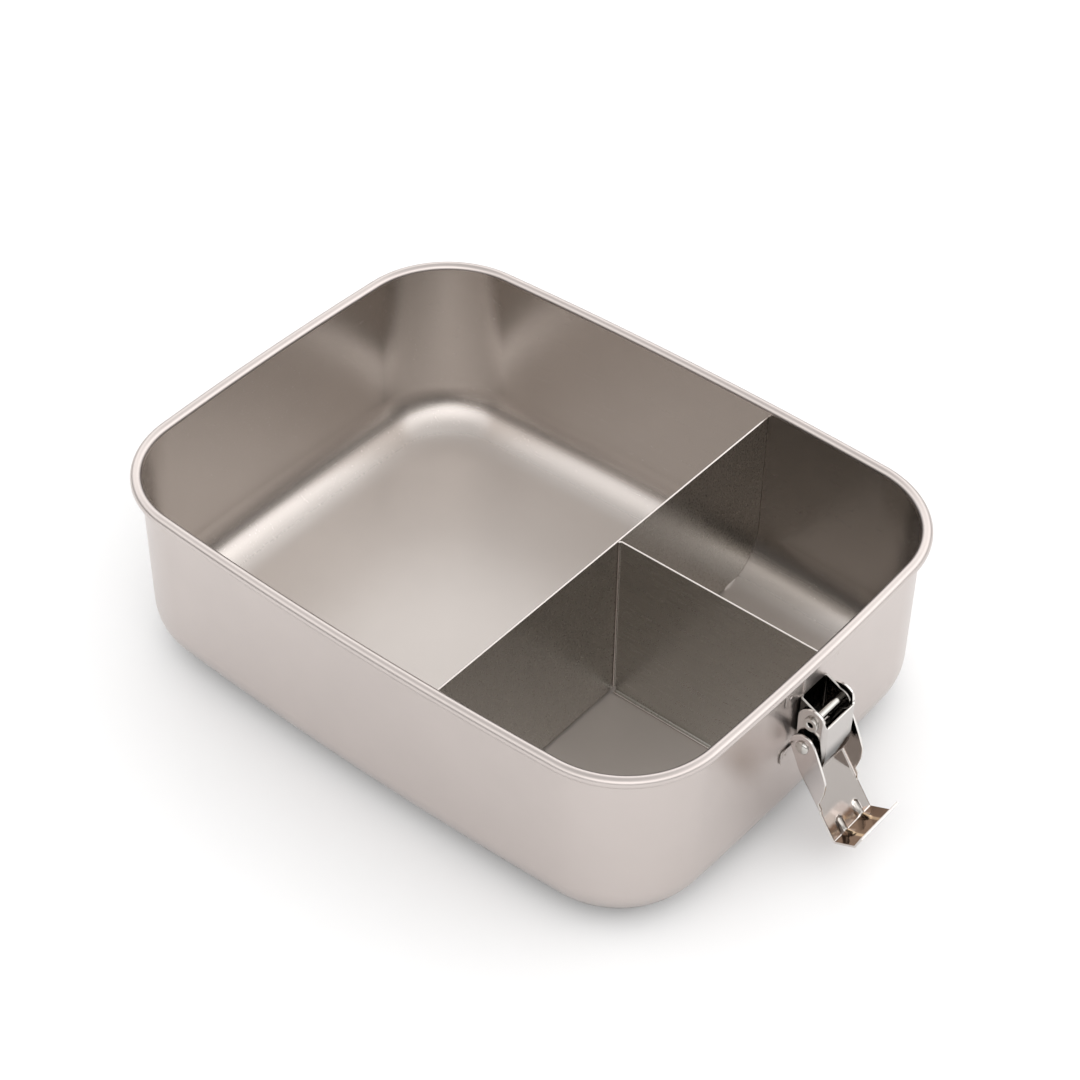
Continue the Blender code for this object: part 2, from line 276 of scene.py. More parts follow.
def steel(name, colour, roughness, grain, shades=(), mill_roughness=0.0, mill_haze=0.0):
    """Bare steel: a grain of the given depth, soft cloudy patches and faint wiping marks, all from the
    object's own space. Each shade is a tint of painted light or shade (factors for red, green and blue)
    that grows along one axis, from the first place to the second, alike on both sides of the middle. Low
    down, where the sheet wasn't drawn, mill_roughness is added and mill_haze makes the steel less of a
    mirror."""
    material = bpy.data.materials.new(name)
    nodes = Nodes(material)
    shader = nodes.tree.nodes["Principled BSDF"]
    shader.inputs["Metallic"].default_value = 1.0
    place = nodes.add("ShaderNodeTexCoord").outputs["Object"]
    size = nodes.add("ShaderNodeVectorMath", {0: place}, operation="ABSOLUTE").outputs[0]
    along = nodes.add("ShaderNodeSeparateXYZ", {"Vector": size}).outputs

    clouds = nodes.noise(place, 28.0, 3.0)
    fine = nodes.noise(place, 2600.0, 4.0)
    stretch = {"Vector": place, "Scale": (60.0, 900.0, 900.0)}
    lines = nodes.noise(nodes.add("ShaderNodeMapping", stretch).outputs[0], 1.0, 3.0)

    patchy = nodes.ramp(clouds, 0.3, 0.7, 1.0, 0.96)
    base = nodes.add("ShaderNodeVectorMath", {0: colour, "Scale": patchy}, operation="SCALE").outputs[0]
    for axis, start, end, tint in shades:
        share = nodes.ramp(along[axis], start, end, 0.0, 1.0, "SMOOTHSTEP")
        factor = nodes.add(
            "ShaderNodeMix", {"Factor": share, 4: (1.0, 1.0, 1.0), 5: tint}, data_type="VECTOR"
        ).outputs[1]
        base = nodes.add("ShaderNodeVectorMath", {0: base, 1: factor}, operation="MULTIPLY").outputs[0]
    nodes.tree.links.new(base, shader.inputs["Base Color"])

    rough = nodes.ramp(fine, 0.3, 0.7, 0.95 * roughness, 1.05 * roughness)
    wiped = nodes.ramp(lines, 0.3, 0.7, -0.03 * roughness, 0.03 * roughness)
    mill = nodes.ramp(along["Z"], 0.8 * MM, 2.4 * MM, mill_roughness, 0.0)
    for extra in (wiped, mill):
        rough = nodes.add("ShaderNodeMath", {0: rough, 1: extra}, operation="ADD").outputs[0]
    nodes.tree.links.new(rough, shader.inputs["Roughness"])
    if mill_haze:
        metallic = nodes.ramp(along["Z"], 1 * MM, 14 * MM, 1 - mill_haze, 1.0)
        nodes.tree.links.new(metallic, shader.inputs["Metallic"])
    relief = {"Height": fine, "Strength": 1.0, "Distance": grain}
    nodes.tree.links.new(nodes.add("ShaderNodeBump", relief).outputs[0], shader.inputs["Normal"])
    return material


def make_materials():
    """Finishes by their use, several with painted light and shade. Polished sheet has one for each of
    its faces, whose colours are set apart as painted reflection of what each face would mirror."""
    # Painted shade: the inner walls are darkened above the floor, standing for the shade inside the deep
    # tray.
    painted_wall_shade = ("Z", 4 * MM, 18 * MM, (0.74, 0.74, 0.73))
    # Painted contact shadow: a dark band low on the outer walls, just above where they meet the floor.
    foot = ("Z", 8.6 * MM, 6.0 * MM, (0.30, 0.29, 0.28))
    # Painted shade: the lever's thumb tab darkens towards its bottom.
    painted_tab_shade = ("Z", 39 * MM, 33 * MM, (0.10, 0.10, 0.10))
    # Painted shade: the hook's ears are darkened to brown, and to near black around the pin.
    ears = ("Y", HOOK_INSIDE - 0.1 * MM, HOOK_INSIDE + 0.1 * MM, (0.33, 0.27, 0.23))
    painted_ear_top_shade = ("Z", 30 * MM, 34 * MM, (0.10, 0.10, 0.10))
    # The claw is brought back from the lip's painted brown to the steel's own colour.
    claw = ("X", CLAW_X, CLAW_X + 0.4 * MM, (3.0, 4.4, 6.2))
    # Painted highlight: a bright stripe along each dart where it crosses the lip.
    painted_highlight_start = ("Y", DART_Y - 0.9 * MM, DART_Y - 0.3 * MM, (2.6, 2.9, 2.8))
    painted_highlight_end = ("Y", DART_Y + 0.3 * MM, DART_Y + 0.9 * MM, (0.38, 0.34, 0.36))
    finishes = {
        "outside": ("satin_outside_painted_contact_shadow", (0.58, 0.524, 0.498), 0.30, SATIN_GRAIN, [foot]),
        "inside": ("satin_inside_painted_wall_shade", (0.64, 0.588, 0.553), 0.26, INNER_GRAIN, [painted_wall_shade], 0.08, 0.52),
        # Painted shade: the dividers are darker than the tray's steel, standing for the shade in the
        # small compartments.
        "divider": ("satin_divider_painted_shade", (0.455, 0.436, 0.407), 0.28, DIVIDER_GRAIN),
        "divider_edge": ("satin_divider_edge", (0.66, 0.61, 0.58), 0.25, SATIN_GRAIN),
        # Painted highlight: the cut edges of the lever and the hook are lighter than their faces.
        "edge": ("polished_edge_painted_highlight", (0.80, 0.77, 0.74), 0.18, POLISHED_GRAIN),
        # Painted shade: a near-black steel standing for the shade on the base plate and inside the
        # lever.
        "dark": ("painted_shade_black", (0.055, 0.05, 0.045), 0.16, POLISHED_GRAIN),
        "pin": ("polished_pin", (0.54, 0.52, 0.49), 0.14, POLISHED_GRAIN),
        "lever": ("polished_lever_painted_tab_shade", (0.55, 0.52, 0.50), 0.14, POLISHED_GRAIN, [painted_tab_shade]),
        "hook": ("polished_hook_painted_reflection_and_shade", (0.76, 0.70, 0.66), 0.14, POLISHED_GRAIN, [ears, painted_ear_top_shade]),
        "hook_back": ("polished_hook_back_painted_reflection", (0.66, 0.61, 0.59), 0.16, POLISHED_GRAIN),
        # Painted reflection: the lip is coloured brown where it would mirror brownish shade.
        "lip": (
            "polished_lip_painted_reflection", (0.24, 0.165, 0.115), 0.12, POLISHED_GRAIN, [claw, painted_highlight_start, painted_highlight_end],
        ),
        # Painted shade: the darts' flanks are near black and their tops darkened.
        "dart": ("painted_dart_flank_shade", (0.13, 0.105, 0.09), 0.16, POLISHED_GRAIN),
        "dart_top": ("painted_dart_top_shade", (0.46, 0.43, 0.40), 0.18, POLISHED_GRAIN),
        # Painted shade: darkened cut edges, for the base plate and the near tabs' outlines.
        "painted_shade_edge": ("polished_painted_shade_edge", (0.36, 0.34, 0.32), 0.2, POLISHED_GRAIN),
    }
    return {use: steel(*finish) for use, finish in finishes.items()}


# ---------------------------------------------------------------- tray


def corner_centre():
    """Where the corner's round meets both bowed sides without a kink, in the first quadrant."""
    end_centre = Vector((HALF_LENGTH - END_BOW_RADIUS, 0))
    side_centre = Vector((0, HALF_WIDTH - SIDE_BOW_RADIUS))
    end_reach = END_BOW_RADIUS - CORNER_RADIUS
    side_reach = SIDE_BOW_RADIUS - CORNER_RADIUS
    across = side_centre - end_centre
    span = across.length
    along = (end_reach**2 - side_reach**2 + span**2) / (2 * span)
    off = math.sqrt(end_reach**2 - along**2)
    across.normalize()
    return end_centre + across * along + Vector((-across.y, across.x)) * off


def tray_outline(grow, bow_steps=8, corner_steps=28):
    """The tray's outline moved outwards by grow, all the way round, anticlockwise from +X."""
    corner = corner_centre()
    end_centre = Vector((HALF_LENGTH - END_BOW_RADIUS, 0))
    side_centre = Vector((0, HALF_WIDTH - SIDE_BOW_RADIUS))
    end_turn = math.atan2(*(corner - end_centre).yx)
    side_turn = math.atan2(*(corner - side_centre).yx)
    quadrant = arc(end_centre, END_BOW_RADIUS + grow, 0, end_turn, bow_steps)[:-1]
    quadrant += arc(corner, CORNER_RADIUS + grow, end_turn, side_turn, corner_steps)[:-1]
    quadrant += arc(side_centre, SIDE_BOW_RADIUS + grow, side_turn, math.pi / 2, bow_steps)
    half = quadrant[:-1] + [(-x, y) for x, y in reversed(quadrant)]
    return half[:-1] + [(-x, -y) for x, y in half[:-1]]


def wall_section(inset, steps=16):
    """(grow, height) up the wall from the floor, on the inner face moved inwards by inset."""
    centre = (-FLOOR_FILLET, SHEET + FLOOR_FILLET)
    return arc(centre, FLOOR_FILLET - inset, -math.pi / 2, 0, steps)


def tray_section():
    """(grow, height) round the whole sheet: up the inside, over the rim and down the outside, and how
    many of these points are on the inside."""
    rim_z = TRAY_TOP.z - RIM_RADIUS
    bead = (RIM_RADIUS, rim_z)
    inside = wall_section(0)
    outside = wall_section(-SHEET)
    top = SHEET + FLOOR_FILLET
    straight = [(0, height) for height in spread(top, rim_z, 6)[1:-1]]
    back = [(SHEET, height) for height in spread(rim_z, top, 6)[1:-1]]
    over = arc(bead, RIM_RADIUS, math.pi, RIM_END, 28)
    under = arc(bead, RIM_RADIUS - SHEET, RIM_END, math.pi, 20)
    flat = FLOOR_FILLET + 1.5 * MM
    first = [(-flat, SHEET)]
    last = [(-flat, 0)]
    points = first + inside + straight + over + under + back + outside[::-1] + last
    return points, len(first + inside + straight)


def make_tray(materials):
    mesh = bmesh.new()
    section, inner_points = tray_section()
    rings = [
        [mesh.verts.new((x, y, height)) for x, y in tray_outline(grow)] for grow, height in section
    ]
    for row, (one, two) in enumerate(zip(rings, rings[1:])):
        for i in range(len(one)):
            j = (i + 1) % len(one)
            face = mesh.faces.new((one[i], one[j], two[j], two[i]))
            face.material_index = 0 if row < inner_points else 1
    mesh.faces.new(rings[0])
    mesh.faces.new(rings[-1]).material_index = 1
    tray = add_object("tray_shell", mesh, [materials["inside"], materials["outside"]])
    weigh_normals(tray)
    settle(tray, "tray")


# ---------------------------------------------------------------- dividers


def end_wall_x(y, grow):
    return HALF_LENGTH - END_BOW_RADIUS + math.sqrt((END_BOW_RADIUS + grow) ** 2 - y**2)


def side_wall_y(x, grow):
    return HALF_WIDTH - SIDE_BOW_RADIUS + math.sqrt((SIDE_BOW_RADIUS + grow) ** 2 - x**2)


def divider_rows(top):
    """(height, grow) of each row of a divider above its foot, up the floor fillet and the wall. Its gap
    to the tray is closed."""
    rows = [(height, grow) for grow, height in wall_section(WELD_GAP, 14)]
    rows += [(height, rows[-1][1]) for height in spread(rows[-1][0], top, 10)[1:]]
    return [row for row in rows if row[0] > DIVIDER_FOOT + 1.0 * MM]


def flange_path(length, radius, steps=5):
    """(across, along) of a bent strip's middle line: out along the neighbour, then round its bend."""
    turns = spread(0, math.pi / 2, steps)
    bend = [(radius - radius * math.sin(t), radius - radius * math.cos(t)) for t in turns]
    return [(length, 0.0), ((length + radius) / 2, 0.0)] + bend


def make_long_divider(materials):
    """Crosses the tray from side to side. Its foot is a narrow strip, bent towards -X."""
    foot = flange_path(LONG_DIVIDER_X - LONG_LOW.x, 0.9 * MM)
    rows = divider_rows(LONG_HIGH.z)
    steps = 40
    reach = side_wall_y(LONG_DIVIDER_X, -FLOOR_FILLET)

    def place(i, j):
        if j < len(foot):
            across, along = foot[j]
            y = reach * (2 * i / steps - 1)
            return (LONG_DIVIDER_X - across, y, DIVIDER_FOOT + along)
        height, grow = rows[j - len(foot)]
        y = side_wall_y(LONG_DIVIDER_X, grow) * (2 * i / steps - 1)
        return (LONG_DIVIDER_X, y, height)

    total = len(foot) + len(rows) - 1
    finishes = [materials["divider"], materials["divider"], materials["divider_edge"]]
    divider = bent_sheet(
        "long_divider_plate", steps, total, place, lambda i, j: True, SHEET, DIVIDER_EDGE, finishes
    )
    weigh_normals(divider)
    settle(divider, "long_divider")


def make_short_divider(materials):
    """Runs from the long divider to the end wall. The strips at its foot and its seam are bent
    towards -Y."""
    seam_radius = 0.6 * MM
    foot = flange_path(1.6 * MM, 0.8 * MM)
    seam = flange_path(0.9 * MM, seam_radius)
    rows = divider_rows(SHORT_HIGH.z)
    near = LONG_HIGH.x + SHEET / 2 + WELD_GAP
    steps = 24
    foot_start = near + seam_radius
    plate_start = near + 0.8 * MM

    def place(i, j):
        across, along = seam[i] if i < len(seam) else (0, 0)
        share = (i - len(seam) + 1) / steps
        if j < len(foot):
            out, up = foot[j]
            end = end_wall_x(SHORT_DIVIDER_Y, -FLOOR_FILLET)
            x = foot_start + (end - foot_start) * max(share, 0)
            return (x, SHORT_DIVIDER_Y - out, DIVIDER_FOOT + up)
        height, grow = rows[j - len(foot)]
        if i < len(seam):
            return (near + along, SHORT_DIVIDER_Y - across, height)
        x = plate_start + (end_wall_x(SHORT_DIVIDER_Y, grow) - plate_start) * share
        return (x, SHORT_DIVIDER_Y, height)

    columns = len(seam) - 1 + steps
    total = len(foot) + len(rows) - 1

    def keep(i, j):
        return j >= len(foot) or i >= len(seam) - 1

    finishes = [materials["divider"], materials["divider"], materials["divider_edge"]]
    divider = bent_sheet(
        "short_divider_plate", columns, total, place, keep, SHEET, DIVIDER_EDGE, finishes
    )
    weigh_normals(divider)
    settle(divider, "short_divider")


# ---------------------------------------------------------------- latch


def channel_path(side_points, outer, face, radius, bend_steps, web_steps):
    """The middle line of a channel seen along its height, as (x, y) from the -Y flange's free edge,
    round the web at x = face, to the +Y flange's. side_points are the flanges' x places."""
    flange = [(x, -outer) for x in side_points]
    bend = arc((face - radius, -outer + radius), radius, -math.pi / 2, 0, bend_steps)
    web = [(face, y) for y in spread(-outer + radius, outer - radius, web_steps)]
    return flange + bend + web[1:-1] + [(x, -y) for x, y in reversed(flange + bend)]


def rounded_path(points, radius, steps):
    """A path whose inner corners are turned into arcs of the given radius."""
    points = [Vector(point) for point in points]
    path = [points[0]]
    for before, at, after in zip(points, points[1:], points[2:]):
        back, on = (before - at).normalized(), (after - at).normalized()
        angle = back.angle(on)
        reach = radius / math.tan(angle / 2)
        centre = at + (back + on).normalized() * radius / math.sin(angle / 2)
        start, end = at + back * reach - centre, at + on * reach - centre
        first = math.atan2(start.y, start.x)
        turn = math.remainder(math.atan2(end.y, end.x) - first, math.tau)
        path += [Vector(point) for point in arc(centre, radius, first, first + turn, steps)]
    path.append(points[-1])
    return path


def make_lever(side, materials):
    """A channel on the pin, whose outer web runs down into a curled thumb tab."""
    radius = 4.7 * MM
    face = radius - PLATE / 2
    bend = 1.1 * MM
    foot = HOOK_AXIS - LEVER_AXIS
    foot_radius, foot_turn = 3.2 * MM, 0.87
    straight, end = 11.5 * MM, 18.2 * MM
    curl_radius = 16 * MM
    narrower, narrow_from = 0.10, end - 3 * MM
    slope_start = Vector((
        foot.x + foot_radius * math.cos(foot_turn), foot.z - foot_radius * math.sin(foot_turn),
    ))
    slope_end = Vector((face - bend, -15.0 * MM))

    turns = spread(0.18, math.pi / 2, 8) + spread(math.pi / 2, math.pi - 0.9, 6)[1:]
    flange = [-radius * math.cos(t) for t in turns]
    path = channel_path(flange, LEVER_OUTER - PLATE / 2, face, bend, 7, 14)
    columns = len(path) - 1
    flange_rows, tab_rows = 14, 8

    def top(x):
        """The flanges' round tops run down to the web's top edge, level with the pin."""
        share = min(1.0, max(0.0, (x - face + bend) / bend))
        return math.sqrt(radius**2 - x**2) * (1 - share**2)

    def low(x):
        if x <= slope_start.x:
            reach = foot_radius if x > foot.x else foot.x + radius
            return foot.z - foot_radius * math.sqrt(1 - ((x - foot.x) / reach) ** 2)
        share = min(1.0, (x - slope_start.x) / (slope_end.x - slope_start.x))
        return slope_start.y + (slope_end.y - slope_start.y) * share

    def curl(z):
        drop = max(0.0, -straight - z)
        return math.sqrt(curl_radius**2 - drop**2) - curl_radius

    def place(i, j):
        x, y = path[i]
        if j <= flange_rows:
            z = low(x) + (top(x) - low(x)) * (1 - j / flange_rows)
        else:
            z = low(x) + (-end - low(x)) * (j - flange_rows) / tab_rows
            x += (face - x) * smooth_step(-z, -slope_end.y, -slope_end.y + 2 * MM)
            y *= 1 - narrower * smooth_step(-z, narrow_from, end)
        return (LEVER_AXIS.x + x + curl(z), y, LEVER_AXIS.z + z)

    def keep(i, j):
        middle = (path[i][0] + path[i + 1][0]) / 2
        return j < flange_rows or middle > face - bend

    # Painted shade: the channel's inner face is black, standing for the shade inside the channel.
    lever = bent_sheet(
        f"{side}_lever_channel", columns, flange_rows + tab_rows, place, keep, PLATE, 0.16 * MM,
        [materials["lever"], materials["dark"], materials["edge"]],
    )
    drill(lever, LEVER_AXIS, LEVER_PIN_HOLE, LEVER_OUTER + 1 * MM)
    drill(lever, HOOK_AXIS, HOOK_PIN_HOLE, LEVER_OUTER + 1 * MM)
    return weigh_normals(lever)


def make_hook(side, materials):
    """A plate with two ears on the pin, and a lip and a claw that reach over the lid's edge. Drawn
    upright with its pin at the origin, then turned to hang. Two pressed darts stiffen its crease."""
    radius = 4.2 * MM
    outer_face, plate_low, ear_top = 6.6 * MM, 10 * MM, 20.6 * MM
    crease = Vector((outer_face - PLATE / 2, 32.8 * MM - PLATE / 2))
    lip_end, claw_end = Vector((-1.0 * MM, 33.7 * MM)), Vector((-5.2 * MM, 30.9 * MM))
    face = crease.x
    bend, bend_steps, web_steps = 1.1 * MM, 7, 56
    half_width = HOOK_OUTER - PLATE / 2
    ear_rows = 16
    ear_edge = [(-4.2, 0), (-3.2, 6), (-1.7, 12.7), (0.8, 16), (3.4, 18.3), (6.6, 20.6)]  # mm
    widening = 2.5 * MM  # along the plate, from the ears' bend to a flat plate
    side_cell = 0.3 * MM
    dart_from, dart_to = -6.2 * MM, 4.6 * MM  # along the plate, from the crease
    dart_length, dart_half = dart_to - dart_from, 1.9 * MM
    dart_depth = 0.45
    dart_foot, dart_top = 0.08, 0.8  # shares of the depth, between which a dart's flank is dark

    turns = spread(0.25, math.pi / 2, 7) + spread(math.pi / 2, math.pi - 0.2, 7)[1:]
    flange = [-radius * math.cos(t) for t in turns] + [4.7 * MM]
    path = channel_path(flange, half_width, face, bend, bend_steps, web_steps)
    columns = len(path) - 1

    profile = rounded_path([(face, ear_top), crease, lip_end, claw_end], 0.7 * MM, 5)
    fine = [profile[0]]
    for one, two in zip(profile, profile[1:]):
        parts = max(1, round((two - one).length / (0.35 * MM)))
        fine += [one.lerp(two, k / parts) for k in range(1, parts + 1)]
    lengths = [0.0]
    for one, two in zip(fine, fine[1:]):
        lengths.append(lengths[-1] + (two - one).length)
    crease_at = crease.y - ear_top
    lip_row = ear_rows + next(k for k, length in enumerate(lengths) if length > crease_at)
    dart_start = Vector((face, crease.y + dart_from))
    dart_end = crease + (lip_end - crease).normalized() * dart_to

    def low(x):
        if x <= radius:
            return -math.sqrt(max(radius**2 - x**2, 0))
        return plate_low * min(1.0, (x - radius) / (face - radius))

    def top(x):
        x /= MM
        for (x0, z0), (x1, z1) in zip(ear_edge, ear_edge[1:]):
            if x <= x1:
                return (z0 + (z1 - z0) * (x - x0) / (x1 - x0)) * MM
        return ear_top

    def dart_share(along):
        """How far along the darts this distance up the plate is, from 0 to 1."""
        return min(1.0, max(0.0, (along - crease_at - dart_from) / dart_length))

    def dart_lift(along, y):
        """How much of a dart's full depth there is at a place on the plate, from 0 to 1."""
        share = dart_share(along)
        off = abs(abs(y) - DART_Y) / dart_half
        end = min(share, 1 - share) * dart_length / dart_half
        off = math.hypot(off, max(0.0, 1 - end))
        return 0.5 + 0.5 * math.cos(math.pi * min(1.0, off * 1.05))

    def place(i, j):
        x, y = path[i]
        if j <= ear_rows:
            high = ear_top if x > face - 1e-6 else top(x)
            share = j / ear_rows
            return (x, y, low(x) + (high - low(x)) * share)
        along = lengths[j - ear_rows]
        back = dart_start.lerp(dart_end, dart_share(along))
        point = fine[j - ear_rows].lerp(back, dart_depth * dart_lift(along, y))
        flat = smooth_step(along, 0, widening)
        from_side = min(i, columns - i) - len(flange)
        if from_side < bend_steps:
            side = half_width
            if from_side >= 0:
                side -= side_cell + (bend - side_cell) * from_side / bend_steps
            y += (math.copysign(side, y) - y) * flat
        return (point.x + (x - face) * (1 - flat), y, point.y)

    def keep(i, j):
        return j < ear_rows or len(flange) - 1 <= i < columns - len(flange) + 1

    # Painted shade: cells on the darts' flanks (both flanks of the dart at -Y, the outer flank of the
    # one at +Y) and on their tops take dark finishes; the lip's cells take its painted brown reflection.
    def patch(i, j):
        if j >= lip_row:
            return 3
        y = (path[i][1] + path[i + 1][1]) / 2
        lift = dart_lift(lengths[max(0, j - ear_rows)], y)
        if lift > dart_top:
            return 7
        return 5 if lift > dart_foot and (y < 0 or y > DART_Y) else 0

    # The plate's two faces get a lighter and a darker copy of one polished steel, as painted reflection.
    uses = ["hook_back", "hook", "edge"]
    for inner_use in ("lip", "dart", "dart_top"):
        uses += ["hook_back", inner_use]
    hook = bent_sheet(
        f"{side}_hook_plate", columns, ear_rows + len(fine) - 1, place, keep, PLATE, 0.16 * MM,
        [materials[use] for use in uses], patch,
    )
    drill(hook, Vector((0, 0, 0)), HOOK_PIN_HOLE, HOOK_OUTER + 1 * MM)
    weigh_normals(hook)
    return move_mesh(hook, Matrix.Translation(HOOK_AXIS) @ Matrix.Rotation(HOOK_HANGING, 4, "Y"))


def make_base(side, materials):
    """The plate on the end wall. Two ears stand out from it, and four tabs are spot-welded to it."""
    back = WALL + WELD_GAP + PLATE / 2
    ear_outer = 6.3 * MM - PLATE / 2
    bend = 0.9 * MM
    ear_radius = 3.6 * MM
    out = LEVER_AXIS.x - back
    rows_z = [
        BASE_LOW.z, LOWER_TABS_TOP, LEVER_AXIS.z - 8.0 * MM, LEVER_AXIS.z + 6.2 * MM, BASE_TOP,
    ]
    counts = (16, 4, 14, 18)
    heights = [rows_z[0]]
    for z0, z1, count in zip(rows_z, rows_z[1:], counts):
        heights += spread(z0, z1, count)[1:]
    marks = [sum(counts[:k]) for k in range(5)]

    ear_x = [out + ear_radius * math.cos(t) for t in spread(0.3, math.pi / 2, 7)]
    ear_x += spread(ear_x[-1], bend, 5)[1:-1]
    inner = ear_outer - bend
    ear = [(back + x, -ear_outer) for x in ear_x]
    turn = [(back + bend - bend * math.sin(t), -ear_outer + bend - bend * math.cos(t))
            for t in spread(0, math.pi / 2, 6)]
    web = [(back, y) for y in spread(-inner, inner, 12)]
    path = ear + turn + web[1:-1] + [(x, -y) for x, y in reversed(ear + turn)]
    side_columns = len(ear) + len(turn) - 1
    columns = len(path) - 1

    def ear_rows(x):
        """The lowest and highest point of the ear at this distance from the wall."""
        low, high = rows_z[2], rows_z[3]
        middle = LEVER_AXIS.z
        if x >= LEVER_AXIS.x:
            lift = math.sqrt(max(ear_radius**2 - (x - LEVER_AXIS.x) ** 2, 0))
            return middle - lift, middle + lift
        share = (x - back) / (LEVER_AXIS.x - back)
        return low + (middle - ear_radius - low) * share, high + (middle + ear_radius - high) * share

    def place(i, j):
        x, y = path[i]
        z = heights[j]
        if marks[2] <= j <= marks[3]:
            low, high = ear_rows(x)
            z = low + (high - low) * (j - marks[2]) / counts[2]
        return (x, y, z)

    def keep(i, j):
        middle = side_columns <= i < columns - side_columns
        return middle or marks[2] <= j < marks[3]

    # Painted shade: the plate is black on both faces up to the top of its ears, standing for the shade
    # behind the lever; above that it has the wall's colour.
    uses = ("dark", "dark", "painted_shade_edge", "outside", "outside")
    base = bent_sheet(
        f"{side}_base_plate", columns, len(heights) - 1, place, keep, PLATE, 0.14 * MM,
        [materials[use] for use in uses], lambda i, j: 3 if j >= marks[3] else 0,
    )
    drill(base, LEVER_AXIS, LEVER_PIN_HOLE, ear_outer + 1 * MM)
    return weigh_normals(base)


def make_tab(name, way, low, high, finishes):
    """One of the base plate's welded tabs, with the dimple of a spot weld. way is its side, -1 or 1."""
    thickness = 0.45 * MM
    face = WALL + thickness / 2
    inner, outer = 4.6 * MM, BASE_HIGH.y
    corner = 1.4 * MM
    columns, rows = 34, 22
    weld_y, weld_z = 11.0 * MM, (low + high) / 2 + 0.6 * MM

    def place(i, j):
        y = inner + (outer - inner) * i / columns
        inset = 0.0
        if y > outer - corner:
            inset = corner - math.sqrt(max(corner**2 - (y - outer + corner) ** 2, 0))
        z = low + inset + (high - low - 2 * inset) * j / rows
        off = math.hypot(y - weld_y, z - weld_z) / MM
        pit = -0.16 * math.exp(-((off / 0.42) ** 2))
        ridge = 0.06 * math.exp(-(((off - 0.85) / 0.25) ** 2))
        return (face + (pit + ridge) * MM, way * y, z)

    tab = bent_sheet(name, columns, rows, place, lambda i, j: True, thickness, 0.1 * MM, finishes)
    return weigh_normals(tab)


def make_tabs(side, materials):
    outside = materials["outside"]
    upper, lower = (TRAY_TOP.z - 12.2 * MM, BASE_TOP), (BASE_LOW.z, LOWER_TABS_TOP)
    # Painted shade: the near tabs' cut edges are darkened into outlines; the far tabs' edges keep the
    # wall's colour.
    return [
        make_tab(f"{side}_{word}_tab", way, *heights, [outside, outside, materials[edge]])
        for word, way, heights, edge in (
            ("near_upper", -1, upper, "painted_shade_edge"),
            ("far_upper", 1, upper, "outside"),
            ("near_lower", -1, lower, "painted_shade_edge"),
            ("far_lower", 1, lower, "outside"),
        )
    ]


def make_lever_pin(side, material):
    """A tubular rivet. Its ends are rolled outwards into flat heads."""
    bore, tube, head = 0.85 * MM, 1.4 * MM, 2.3 * MM
    rim, mouth, chamfer = 0.25 * MM, 0.45 * MM, 0.05 * MM
    end = LEVER_PIN_END
    inner = LEVER_OUTER + 0.02 * MM
    half = arc((bore + mouth, end - mouth), mouth, math.pi, math.pi / 2, 6)
    half += arc((head - rim, end - rim), rim, math.pi / 2, 0, 5)
    half += [(head, inner + chamfer), (head - chamfer, inner), (tube, inner)]
    profile = half + [(tube, 0)] + [(radius, -y) for radius, y in reversed(half)] + [(bore, 0)]
    pin = turned(f"{side}_lever_rivet", profile, material)
    move_mesh(pin, Matrix.Translation(LEVER_AXIS))
    return weigh_normals(pin)


def make_hook_pin(side, material):
    """A solid rivet with domed heads."""
    stem, head = 1.2 * MM, 2.1 * MM
    lip, chamfer = 0.25 * MM, 0.05 * MM
    inner = HOOK_OUTER + PIN_CLEARANCE
    shoulder = inner + lip
    rise = HOOK_PIN_END - HOOK_OUTER - PIN_CLEARANCE - lip
    turns = spread(0, math.pi / 2, 10)[1:]
    half = [(0, shoulder + rise)]
    half += [(head * math.sin(t), shoulder + rise * math.cos(t)) for t in turns]
    half += [(head, inner + chamfer), (head - chamfer, inner), (stem, inner)]
    profile = half + [(radius, -y) for radius, y in reversed(half)]
    pin = turned(f"{side}_hook_rivet", profile, material)
    move_mesh(pin, Matrix.Translation(HOOK_AXIS))
    return weigh_normals(pin)


def make_latch(side, turn, materials):
    """One latch, drawn on the +X end. The other end's is the same, turned half round."""
    place = Matrix.Rotation(turn, 4, "Z")
    base = make_base(side, materials)
    tabs = make_tabs(side, materials)
    lever_pin = make_lever_pin(side, materials["pin"])
    lever = make_lever(side, materials)
    hook_pin = make_hook_pin(side, materials["pin"])
    hook = make_hook(side, materials)
    for thing in [base, *tabs, lever_pin, lever, hook_pin, hook]:
        move_mesh(thing, place)
    settle(base, f"{side}_latch_base")
    for tab in tabs:
        settle(tab, f"{side}_latch_base")
    settle(lever_pin, f"{side}_lever_pin")
    settle(lever, f"{side}_lever")
    settle(hook_pin, f"{side}_hook_pin")
    settle(hook, f"{side}_hook")


# ---------------------------------------------------------------- stage, lights and camera


CAMERA_AT = Vector((0.35554, -0.42989, 0.55515))
CAMERA_AZIMUTH = math.radians(39.21)
CAMERA_ELEVATION = math.radians(42.41)
CAMERA_ROLL = math.radians(0.80)
CAMERA_LENS = 85.37  # mm, on a 36 mm wide sensor


